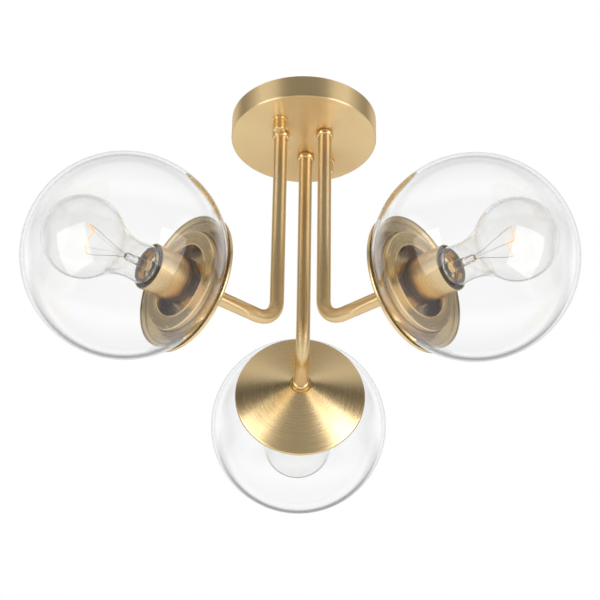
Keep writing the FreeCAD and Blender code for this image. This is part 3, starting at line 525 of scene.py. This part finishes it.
def bent_tube(radius, columns):
    """Distance s down the stem: (0, top - s); round the bend of angle a = (s - run) / R:
    (R - R cos a, R - R sin a); then out along X. The ring stands across the direction."""
    down, bend = TUBE_TOP - BEND, BEND * np.pi / 2
    out = TUBE_END - BEND
    s = np.concatenate([[0, 0.01, 0.2], np.linspace(1, down - 1, 24),
                        np.linspace(down, down + bend, 28),
                        np.linspace(down + bend + 1, down + bend + out - 1, 10),
                        down + bend + out - np.array([0.2, 0.01, 0])])
    thick = np.full(len(s), radius)
    thick[[0, -1]] = 0
    angle = np.clip((s - down) / BEND, 0, np.pi / 2)
    past = np.clip(s - down - bend, 0, None)
    x = BEND * (1 - np.cos(angle)) + past
    z = np.where(s < down, TUBE_TOP - s, BEND * (1 - np.sin(angle)))
    middle = np.stack([x, np.zeros_like(x), z], axis=-1)
    across = np.stack([-np.cos(angle), np.zeros_like(x), -np.sin(angle)], axis=-1)
    turn = np.linspace(0, 2 * np.pi, columns, endpoint=False)
    ring = (np.cos(turn)[None, :, None] * across[:, None]
            + np.sin(turn)[None, :, None] * np.array([0.0, 1.0, 0.0]))
    grid = middle[:, None] + thick[:, None, None] * ring
    run = np.broadcast_to(s[:, None], (len(s), columns))
    circle = np.broadcast_to(turn, run.shape)
    return grid, np.stack([10 * np.cos(circle), 10 * np.sin(circle), run], axis=-1)


for side in STEM_AND_TURN:
    grid, grain = bent_tube(TUBE_RADIUS, 48)
    new_piece(f"{side}_bent_tube", on_arm(side, grid), grain, brass_drawn, f"{side}_arm",
              [f"{side}_arm_tube"])
print("tubes run", round(TUBE_TOP, 1), "mm up and", round(TUBE_END, 1), "mm out")

# %% [markdown]
# ## The bead collars
# A turned bead hides each threaded joint: one under the canopy, one behind the cup. It is
# a short ring with two full rounds, so one profile serves all six.
# %% Turn the beads
BEAD_RADIUS, BEAD_BORE, BEAD_ROUND = 7.0, 4.2, 2.3


def bead_profile(start):
    """Bore, two rounds with a short straight between them, and back along the bore."""
    end = start + BEAD_LENGTH
    around = outline([(start, BEAD_BORE), (start, BEAD_RADIUS, BEAD_ROUND),
                      (end, BEAD_RADIUS, BEAD_ROUND), (end, BEAD_BORE)])
    return np.vstack([around, [[start, BEAD_BORE]]])


for side in STEM_AND_TURN:
    for name, start, axis in (("top", TUBE_TOP, "Z"), ("hub", TUBE_END, "X")):
        grid, grain = lathe(bead_profile(start), axis, 64)
        new_piece(f"{side}_{name}_bead", on_arm(side, grid), grain, brass, f"{side}_arm",
                  [f"{side}_{name}_collar"])
print("six beads")

# %% [markdown]
# ## The cups
# Each cup is spun from a disc into a shallow cone with a straight band at its rim, and the
# globe sits in that band. The spinning tool leaves rings, which turn a lamp into the bright
# fans that the photograph shows. The profile runs down the outside and back up the inside.
# %% Spin the cups
CUP_RADIUS, CUP_WALL, CUP_FOOT, CUP_BORE, BAND_WIDTH = 54.0, 1.0, 9.0, 4.05, 2.2
CUP_INSIDE, BAND = CUP_RADIUS - CUP_WALL, RIM - BAND_WIDTH
cup_profile = np.vstack([outline([
    (APEX, CUP_BORE), (APEX, CUP_FOOT, 2.0), (BAND, CUP_RADIUS, 1.2), (RIM, CUP_RADIUS, 0.35),
    (RIM, CUP_INSIDE, 0.35), (BAND + CUP_WALL, CUP_INSIDE, 0.5),
    (APEX + CUP_WALL, CUP_FOOT, 1.0), (APEX + CUP_WALL, CUP_BORE)]), [[APEX, CUP_BORE]]])
for number, side in enumerate(STEM_AND_TURN):
    grid, grain = lathe(brushed_rows(cup_profile, sides=1, seed=10 + number), "X", 144)
    new_piece(f"{side}_spun_cup", on_arm(side, grid), grain, brass, f"{side}_arm",
              [f"{side}_cup"])
print("cups", round(RIM - APEX, 1), "mm deep")

# %% [markdown]
# ## The pressed rings
# The ring that fills the globe's mouth is pressed from sheet: a wall, a flat face, a step,
# and a lip rolled round the hole that the lamp holder stands in. Nine small pips are
# pressed into the face near its edge. The wall reaches back to the cup's cone, so its end
# follows from the slope of the cone at the wall's radius.
# %% Press the rings
GALLERY, SEAT_GAP = RIM + 4.5, 1.1
RING_RADIUS, RING_HOLE, PIP_RISE = 39.4, 28.0, 0.55
SEAT = APEX + SEAT_GAP + ((RING_RADIUS - CUP_FOOT) * (CUP_DEPTH - BAND_WIDTH)
                          / (CUP_INSIDE - CUP_FOOT))
gallery_profile = np.vstack([outline([
    (SEAT, RING_RADIUS), (GALLERY, RING_RADIUS, 1.5), (GALLERY, 31.0, 0.2),
    (GALLERY - 0.8, 31.0, 0.3), (GALLERY - 0.8, 29.6, 0.2), (GALLERY, 29.6, 0.75),
    (GALLERY, RING_HOLE, 0.75), (GALLERY - 3.2, RING_HOLE), (GALLERY - 3.2, 28.9),
    (GALLERY - 1.7, 28.9), (GALLERY - 1.7, 38.5), (SEAT, 38.5)]), [[SEAT, RING_RADIUS]]])
print("ring walls", round(GALLERY - SEAT, 1), "mm deep")


# %% Press the pips
def pips(count, circle, size, first):
    """Low domes on the ring's face, sunk 0.05 into it: rise * sqrt(1 - q * q), q from 0 to 1."""
    share = np.array([0, 0.35, 0.65, 0.85, 0.96, 1.0, 0.0])
    rise = np.concatenate([PIP_RISE * np.sqrt(1 - share[:-1] ** 2), [0.0]]) - 0.05
    grids = []
    for angle in np.radians(first + np.arange(count) * 360 / count):
        grid, grain = lathe(np.stack([GALLERY + rise, size * share], 1), "X", 12)
        grid = grid + np.array([0, circle * np.cos(angle), circle * np.sin(angle)])
        grids.append((grid, grain))
    return grids


for side in STEM_AND_TURN:
    grid, grain = lathe(gallery_profile, "X", 144)
    new_piece(f"{side}_pressed_ring", on_arm(side, grid), grain, brass, f"{side}_arm",
              [f"{side}_gallery"])
    dots = [(on_arm(side, dot), mark)
            for dot, mark in pips(count=9, circle=36.8, size=0.8, first=52.4)]
    new_piece(f"{side}_ring_pips", None, None, brass, f"{side}_arm", parts=dots)
print("rings with nine pips each")

# %% [markdown]
# ## The sleeves
# A smooth brass sleeve hides each moulded lamp holder. Its mouth is cut square and broken
# with a small round. It stands on the bracket behind the ring's hole, and its profile is a
# thin rectangle swung round the arm.
# %% Draw the sleeves
BRACKET = RIM - 3.5
MOUTH = BRACKET + 36.0
SLEEVE_RADIUS, SLEEVE_BORE = 17.6, 16.7
sleeve_profile = outline([(BRACKET, SLEEVE_BORE), (BRACKET, SLEEVE_RADIUS, 0.2),
                          (MOUTH, SLEEVE_RADIUS, 0.3), (MOUTH, SLEEVE_BORE, 0.3)])
sleeve_profile = np.vstack([sleeve_profile, sleeve_profile[:1]])
for side in STEM_AND_TURN:
    grid, grain = lathe(sleeve_profile, "X", 96)
    new_piece(f"{side}_smooth_sleeve", on_arm(side, grid), grain, brass, f"{side}_arm",
              [f"{side}_socket_sleeve"])
print("sleeves", MOUTH - BRACKET, "mm long")

# %% [markdown]
# ## The globes
# A blown globe 150 mm across, cut off behind and turned in to a flat lip that stands round
# the ring. The profile goes from the pole over the outside, round the lip and back along
# the inside, so the mesh is one closed skin of real thickness.
# %% Blow the globes
GLOBE_RADIUS, GLASS, LIP_RADIUS = 75.0, 2.5, 39.8
SUNK = RIM_TO_CENTRE + 2.7


def globe_profile():
    """Outer circle to the lip, the lip's rounded edges, and the inner circle back. A circle
    of radius r is cut at the angle a where r cos a is the depth of the lip."""
    inner = GLOBE_RADIUS - GLASS
    outer_end, inner_end = np.arccos(-SUNK / GLOBE_RADIUS), np.arccos((GLASS - SUNK) / inner)
    outside = arc((REACH, 0), GLOBE_RADIUS, 0, outer_end - 0.02, 110)
    inside = arc((REACH, 0), inner, inner_end - 0.01, 0, 100)
    back, front = REACH - SUNK, REACH - SUNK + GLASS
    lip = outline([tuple(outside[-1]), (back, GLOBE_RADIUS * np.sin(outer_end), 0.9),
                   (back, LIP_RADIUS, 1.2), (front, LIP_RADIUS, 1.2),
                   (front, inner * np.sin(inner_end), 0.5), tuple(inside[0])])
    return np.vstack([outside[:-1], lip, inside[1:]])


for side in STEM_AND_TURN:
    grid, grain = lathe(globe_profile(), "X", 160)
    new_piece(f"{side}_blown_globe", on_arm(side, grid), grain, globe_glass, f"{side}_shade",
              [f"{side}_globe"])
print("globes", 2 * GLOBE_RADIUS, "mm across")

# %% [markdown]
# ## The bulbs
# A clear bulb: a sphere that runs into its neck by one long arc, a small shoulder in front
# of the base, and a tail inside it. The arc touches the sphere, and its radius follows from
# the span between the neck and the sphere's centre.
# %% Blow the bulbs
BASE_FRONT = MOUTH + 1.0
BULB_RADIUS, BULB_WALL, BULB_GAP, TAIL_RADIUS = 30.0, 0.8, 6.5, 12.3
BULB_CENTRE = REACH + (GLOBE_RADIUS - GLASS) - BULB_GAP - BULB_RADIUS
NECK_PLACE, NECK_RADIUS = BASE_FRONT + 12.0, 14.2


def bulb_side(inward):
    """Pole to tail, a distance inward: sphere, neck arc, shoulder and tail. For a span d the
    arc's radius is (d * d / (R - n) - R - n) / 2, with R of the sphere and n of the neck."""
    span = BULB_CENTRE - NECK_PLACE
    bend = (span ** 2 / (BULB_RADIUS - NECK_RADIUS) - BULB_RADIUS - NECK_RADIUS) / 2
    lean = np.arctan2(NECK_RADIUS + bend, -span)
    sphere = arc((BULB_CENTRE, 0), BULB_RADIUS - inward, 0, lean, 70)
    neck = arc((NECK_PLACE, NECK_RADIUS + bend), bend + inward, lean - np.pi, -np.pi / 2, 16)
    step = BASE_FRONT + 1.4 + inward
    end = outline([tuple(neck[-1]), (step, 15.0 - inward, 0.9 - inward * 0.4),
                   (step, TAIL_RADIUS - inward), (BASE_FRONT - 6.0, TAIL_RADIUS - inward)])
    return np.vstack([sphere[:-1], neck[:-1], end])


bulb_profile = np.vstack([bulb_side(0.0), bulb_side(BULB_WALL)[::-1]])
for side in STEM_AND_TURN:
    grid, grain = lathe(bulb_profile, "X", 112)
    new_piece(f"{side}_bulb_envelope", on_arm(side, grid), grain, bulb_glass, f"{side}_bulb",
              [f"{side}_bulb_glass"])
print("bulbs", 2 * BULB_RADIUS, "mm across")

# %% [markdown]
# ## The screw bases
# The base is thin metal with a rolled thread of seven turns to the inch. On a grid, a
# thread is only a wave of the radius whose phase follows the angle, so it climbs one pitch
# in each turn and meets itself without a seam. Amber cement holds the glass in the base, and
# shows through the neck. It is a disc on the floor of the shallow cup in the base's front.
# %% Roll the threads
THREAD_PITCH, THREAD_HEIGHT, THREAD_RADIUS, THREAD_ROWS = 25.4 / 7, 0.42, 12.5, 60
BASE_LENGTH, THREAD_START, THREAD_STOP = 23.0, 1.2, 2.5


def threaded_base(columns):
    """Radius 12.5 + 0.42 sin(2 pi x / pitch - a) on the thread, faded out at both ends."""
    front, back = BASE_FRONT, BASE_FRONT - BASE_LENGTH
    tail = outline([(back - 3.0, 0), (back - 3.0, 4.0, 0.4), (back - 2.0, 4.0),
                    (back - 2.0, 8.0, 0.3), (back, 12.4, 0.5), (back + 1.0, 12.4)])
    x = np.linspace(back + THREAD_START, front - THREAD_STOP, THREAD_ROWS)
    end = outline([(front - 2.2, 12.6), (front, 12.9, 0.15), (front, 12.6, 0.1),
                   (front - 6.8, 12.4), (front - 6.8, 0)])
    rows = np.vstack([tail, np.stack([x, np.full(THREAD_ROWS, THREAD_RADIUS)], 1), end])
    grid, grain = lathe(rows, "X", columns)
    angle = np.linspace(0, 2 * np.pi, columns, endpoint=False)
    fade = np.clip(np.minimum(x - back - THREAD_START, front - THREAD_STOP - x) / 2.5, 0, 1)
    wave = THREAD_HEIGHT * fade[:, None] * np.sin(2 * np.pi * x[:, None] / THREAD_PITCH - angle)
    thread = slice(len(tail), len(tail) + THREAD_ROWS)
    ring = np.stack([np.zeros_like(angle), np.cos(angle), np.sin(angle)], axis=-1)
    grid[thread] += wave[:, :, None] * ring
    return grid, grain


CEMENT_BACK, CEMENT_FRONT, CEMENT_RADIUS = BASE_FRONT - 6.6, BASE_FRONT - 6.1, 11.2
cement_profile = outline([(CEMENT_BACK, 0), (CEMENT_BACK, CEMENT_RADIUS, 0.2),
                          (CEMENT_FRONT, CEMENT_RADIUS, 0.2), (CEMENT_FRONT, 0)])
for side in STEM_AND_TURN:
    grid, grain = threaded_base(72)
    new_piece(f"{side}_screw_base", on_arm(side, grid), grain, base_metal, f"{side}_bulb",
              [f"{side}_bulb_base"])
    grid, grain = lathe(cement_profile, "X", 48)
    new_piece(f"{side}_cement_disc", on_arm(side, grid), grain, cement, f"{side}_bulb",
              [f"{side}_bulb_base"])
print("thread pitch", round(THREAD_PITCH, 2), "mm")

# %% [markdown]
# ## Wires and coils
# The leads, their supports and the filament are all wire, so each is a pipe: a ring of
# points carried along a line, across its direction. A lead's line goes through a few bent
# points. The filament's line is a helix round such a line, as the real wire is wound.
# %% Draw the wires
def pipe(line, radius, sides, steady):
    """line + radius * (cos a * v + sin a * w), where v is across both the line's direction
    and a steady vector, and w is across both the direction and v. Its ends are closed."""
    ahead = np.gradient(line, axis=0)
    ahead /= np.linalg.norm(ahead, axis=1, keepdims=True)
    across = np.cross(ahead, steady)
    across /= np.linalg.norm(across, axis=1, keepdims=True)
    third = np.cross(ahead, across)
    turn = np.linspace(0, 2 * np.pi, sides, endpoint=False)
    thick = np.full(len(line), radius)
    thick[[0, -1]] = 0
    ring = (np.cos(turn)[None, :, None] * across[:, None]
            + np.sin(turn)[None, :, None] * third[:, None])
    grid = line[:, None] + thick[:, None, None] * ring
    return grid, np.zeros_like(grid)


print("a pipe has a grain of zeros, because no wire is brushed")


# %% Bend a wire
def wire(points, radius, steps=24):
    """A pipe along straight runs from point to point, at steps places in all."""
    knots = np.array(points, float)
    share = np.linspace(0, len(knots) - 1, steps)
    share = np.concatenate([share[:1], share, share[-1:]])
    line = np.stack([np.interp(share, np.arange(len(knots)), knots[:, i]) for i in range(3)], 1)
    line[0] -= (line[2] - line[1]) * 0.01
    line[-1] += (line[-2] - line[-3]) * 0.01
    return pipe(line, radius, 8, np.array([0.31, 0.87, 0.38]))


print("a wire is", " by ".join(map(str, wire([(0, 0, 0), (0, 0, 1)], 0.1)[0].shape)), "numbers")


# %% Wind a coil
def coil(points, radius, turns, thick, steps=9):
    """A helix of a radius round a zigzag line: p(s) + r (cos 2 pi n s * v + sin 2 pi n s * w)."""
    knots = np.array(points, float)
    lengths = np.concatenate([[0], np.cumsum(np.linalg.norm(np.diff(knots, axis=0), axis=1))])
    run = np.linspace(0, lengths[-1], turns * steps)
    middle = np.stack([np.interp(run, lengths, knots[:, i]) for i in range(3)], axis=1)
    ahead = np.gradient(middle, axis=0)
    ahead /= np.linalg.norm(ahead, axis=1, keepdims=True)
    first = np.cross(ahead, [1.0, 0.0, 0.0])
    first /= np.linalg.norm(first, axis=1, keepdims=True)
    second = np.cross(ahead, first)
    phase = 2 * np.pi * turns * run / lengths[-1]
    helix = middle + radius * (np.cos(phase)[:, None] * first + np.sin(phase)[:, None] * second)
    return pipe(helix, thick, 5, np.array([0.57, 0.57, 0.59]))


print("a coil of 4 turns has", coil([(0, 0, 0), (0, 0, 1)], 0.2, 4, 0.1)[0].shape[0], "rings")

# %% [markdown]
# ## What glows
# Inside the bulb, a glass stem rises from the seal and holds two stiff leads. A fine coil
# hangs between them in a wide M, and two thin supports hold its low points. The lines of
# all these are only a few corners each, so that the M is easy to bend another way.
# %% Build the mounts
FOOT = BASE_FRONT - 6.0
STEM_END = FOOT + 27.0
FAR = STEM_END - 3.0 + 34.0
LEAD, SUPPORT, COIL, FILAMENT, TURNS = 0.22, 0.10, 0.45, 0.11, 64
stem_profile = outline([(FOOT, 0), (FOOT, 6.4, 0.3), (FOOT + 0.9, 6.4, 0.3),
                        (FOOT + 6.0, 3.8, 6.0), (STEM_END - 5.0, 2.8, 2.0),
                        (STEM_END - 3.0, 3.0, 1.0), (STEM_END, 2.0, 1.0), (STEM_END, 0)])
leads = [[(STEM_END - 9, 0, sign * 1.2), (STEM_END + 2, 0, sign * 1.8),
          (FAR - 6, 0, sign * 11.0), (FAR, 0, sign * 12.6), (FAR + 0.6, 0, sign * 12.2)]
         for sign in (-1, 1)]
supports = [[(STEM_END - 4, 0, 0), (STEM_END + 10, sign * 1.0, sign * 0.8),
             (FAR - 1, sign * 5.0, sign * 4.2)] for sign in (-1, 1)]
filament_line = [(FAR, 0, -12.6), (FAR - 1, -5.0, -4.2), (FAR, 0.0, 0.0), (FAR - 1, 5.0, 4.2),
                 (FAR, 0, 12.6)]
for side in STEM_AND_TURN:
    body = f"{side}_bulb"
    grid, grain = lathe(stem_profile, "X", 48)
    new_piece(f"{side}_glass_stem", on_arm(side, grid), grain, bulb_glass, body,
              [f"{side}_bulb_mount"])
    wires = [wire(line, LEAD) for line in leads] + [wire(line, SUPPORT) for line in supports]
    new_piece(f"{side}_lead_wires", None, None, wire_metal, body,
              [f"{side}_bulb_mount"], parts=[(on_arm(side, g), m) for g, m in wires])
    grid, grain = coil(filament_line, COIL, TURNS, FILAMENT)
    new_piece(f"{side}_filament_coil", on_arm(side, grid), grain, filament_glow, body,
              [f"{side}_bulb_mount"])
print("filaments of", TURNS, "turns")

# %% [markdown]
# ## CAD nodes that stay
# The crossbar, the screws and nuts, the threaded pipes, the bracket, the moulded holder and
# its screw shell are shown as the CAD made them. They only get their finishes, by the name
# of each node.
# %% Dress the CAD nodes
KEPT = {"crossbar": zinc, "canopy_studs": zinc, "stud_nuts": zinc, "ground_screw": zinc,
        "top_nipple": zinc, "hub_nipple": zinc, "top_nut": zinc, "hub_nut": shell_brass,
        "socket_bracket": brass_cad, "lamp_holder": phenolic, "screw_shell": shell_brass}
for name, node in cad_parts.items():
    for ending, finish in KEPT.items():
        if name.endswith(ending):
            for place in node.material_slots:
                place.material = finish
print(len(KEPT), "kinds of CAD nodes dressed")

# %% [markdown]
# ## The floor
# A wide pale disc lies far below the light. Straight rays, and rays that went through glass,
# see it partly glow, so it stays pale without more lamps, and it still takes a shadow.
# %% Lay the floor
FLOOR_RADIUS, FLOOR_DEPTH, FLOOR_SIDES = 9, -1.9, 96
floor_finish, start = new_finish("pale_floor")
path = start.add("LightPath", out="Is Camera Ray")
passed = start.add("LightPath", out="Is Transmission Ray")
seen = start.math("MAXIMUM", path, passed)
place = start.add("TexCoord", out="Object")
speckle = start.add("TexNoise", {"Vector": place, "Scale": 3.0, "Detail": 3.0})
paint = start.add("BsdfPrincipled", {
    "Base Color": tones(start, speckle, (0.86, 0.86, 0.86), (0.92, 0.92, 0.92)),
    "Roughness": 0.8})
glow = start.add("Emission", {"Color": (1, 1, 1, 1), "Strength": 1.0})
show(start, start.add("MixShader", {0: seen * 0.6, 1: paint, 2: glow}))
angle = np.linspace(0, 2 * np.pi, FLOOR_SIDES, endpoint=False)
rim = np.stack([FLOOR_RADIUS * np.cos(angle), FLOOR_RADIUS * np.sin(angle),
                np.full(FLOOR_SIDES, FLOOR_DEPTH)], axis=-1)
floor_mesh = bpy.data.meshes.new("floor")
floor_mesh.from_pydata(rim.tolist(), [], [list(range(FLOOR_SIDES))])
floor_mesh.materials.append(floor_finish)
floor = bpy.data.objects.new("floor", floor_mesh)
floor.visible_glossy = False
bpy.context.scene.collection.objects.link(floor)
print("floor", 2 * FLOOR_RADIUS, "m across")

# %% [markdown]
# ## The soft boxes
# Two wide lamps stand low at the left and right in front. They give the bright fans on the
# cups, the stripes on the tubes and the patches on the globes. Neither the camera nor a ray
# through glass sees them, or they would fill a globe with white.
# %% Hang the soft boxes
BOX_DISTANCE, BOX_WIDTH, BOX_HEIGHT = 1.7, 0.95, 1.2
LIT_POINT = np.array([0, 0, -0.15])


def soft_box(name, azimuth, elevation, distance, width, height, watts):
    """A rectangle of light that faces the lit point, at distance * (cos e cos a, cos e sin a,
    sin e) from it for an azimuth a and an elevation e."""
    azimuth, elevation = np.radians([azimuth, elevation])
    away = np.array([np.cos(elevation) * np.cos(azimuth), np.cos(elevation) * np.sin(azimuth),
                     np.sin(elevation)])
    aside = np.array([-np.sin(azimuth), np.cos(azimuth), 0.0])
    turn = np.eye(4)
    turn[:3, :3] = np.stack([aside, np.cross(away, aside), away], axis=1)
    turn[:3, 3] = LIT_POINT + distance * away
    lamp = bpy.data.lights.new(name, "AREA")
    lamp.shape, lamp.size, lamp.size_y, lamp.energy = "RECTANGLE", width, height, watts
    box = bpy.data.objects.new(name, lamp)
    box.matrix_world = Matrix(turn.tolist())
    box.visible_camera = box.visible_transmission = False
    bpy.context.scene.collection.objects.link(box)
    return box


for name, azimuth, watts in (("left_box", -142, 12), ("right_box", -38, 13)):
    box = soft_box(name, azimuth, -15, BOX_DISTANCE, BOX_WIDTH, BOX_HEIGHT, watts)
    print(name, "at", np.round(box.matrix_world.translation, 2), "m")

# %% [markdown]
# ## The world
# The world is a white sweep in a plain room. Straight rays see it white, and so do rays that
# only went through glass. Metal looks like metal only where it has something darker to
# mirror, so glossy rays see white behind and below the light, and a dim room in front of
# it: bright at the floor, a dark band above eye level and a pale ceiling, with pale walls
# at both sides. Each ramp runs from straight down, 0, to straight up, 1. A MapRange takes
# the value, the two places that it lies between, and their two results, or else 0 and 1.
# %% Sort the rays
world = bpy.data.worlds.new("studio")
bpy.context.scene.world = world
world.use_nodes = True
world.node_tree.nodes.clear()
sky = Signal(world.node_tree)
ray = {name: sky.add("LightPath", out=name) for name in
       ("Is Camera Ray", "Is Transmission Ray", "Is Glossy Ray", "Glossy Depth", "Diffuse Depth")}
bounces = ray["Glossy Depth"] + ray["Diffuse Depth"]
unbounced = sky.math("LESS_THAN", bounces, 0.5)
straight = sky.math("MAXIMUM", ray["Is Camera Ray"], ray["Is Transmission Ray"] * unbounced)
print("rays sorted by", len(ray), "marks")

# %% Paint the world
DIFFUSE_LEVEL = 0.55
direction = sky.add("TexCoord", out="Generated")
aside, away, high = (sky.add("SeparateXYZ", {0: direction}, out=axis) for axis in "XYZ")
in_front = sky.add("ValToRGB", {0: high * 0.5 + 0.5},
                   stops=[(0.05, 0.9), (0.13, 0.6), (0.24, 0.36), (0.44, 0.22), (0.54, 0.03),
                          (0.76, 0.03), (0.83, 0.60), (0.88, 0.75), (0.95, 0.46), (1.0, 0.36)])
behind = sky.add("ValToRGB", {0: high * 0.5 + 0.5},
                 stops=[(0.40, 1.0), (0.48, 0.40), (0.56, 0.40), (0.63, 1.0), (0.95, 1.0),
                        (1.0, 0.7)])
walls = sky.add("MapRange", {0: sky.math("ABSOLUTE", aside, 0.0), 1: 0.78, 2: 0.86},
                interpolation_type="SMOOTHSTEP")
near = sky.add("MapRange", {0: away, 1: -0.20, 2: 0.10, 3: 0.65, 4: 0.20})
lower = sky.math("MAXIMUM", 0 - high, 0.0)
past = sky.add("MapRange", {0: away + lower * 0.6, 1: 0.28, 2: 0.56},
               interpolation_type="SMOOTHSTEP")
front = sky.math("MAXIMUM", in_front, walls * near)
sweep = front * (1 - past) + behind * past
room = ray["Is Glossy Ray"] * sweep + (1 - ray["Is Glossy Ray"]) * DIFFUSE_LEVEL
level_of_light = straight + (1 - straight) * room
background = sky.add("Background", {"Color": (1, 1, 1, 1), "Strength": level_of_light})
show(sky, background, "OutputWorld")
print("world:", len(world.node_tree.nodes), "nodes")
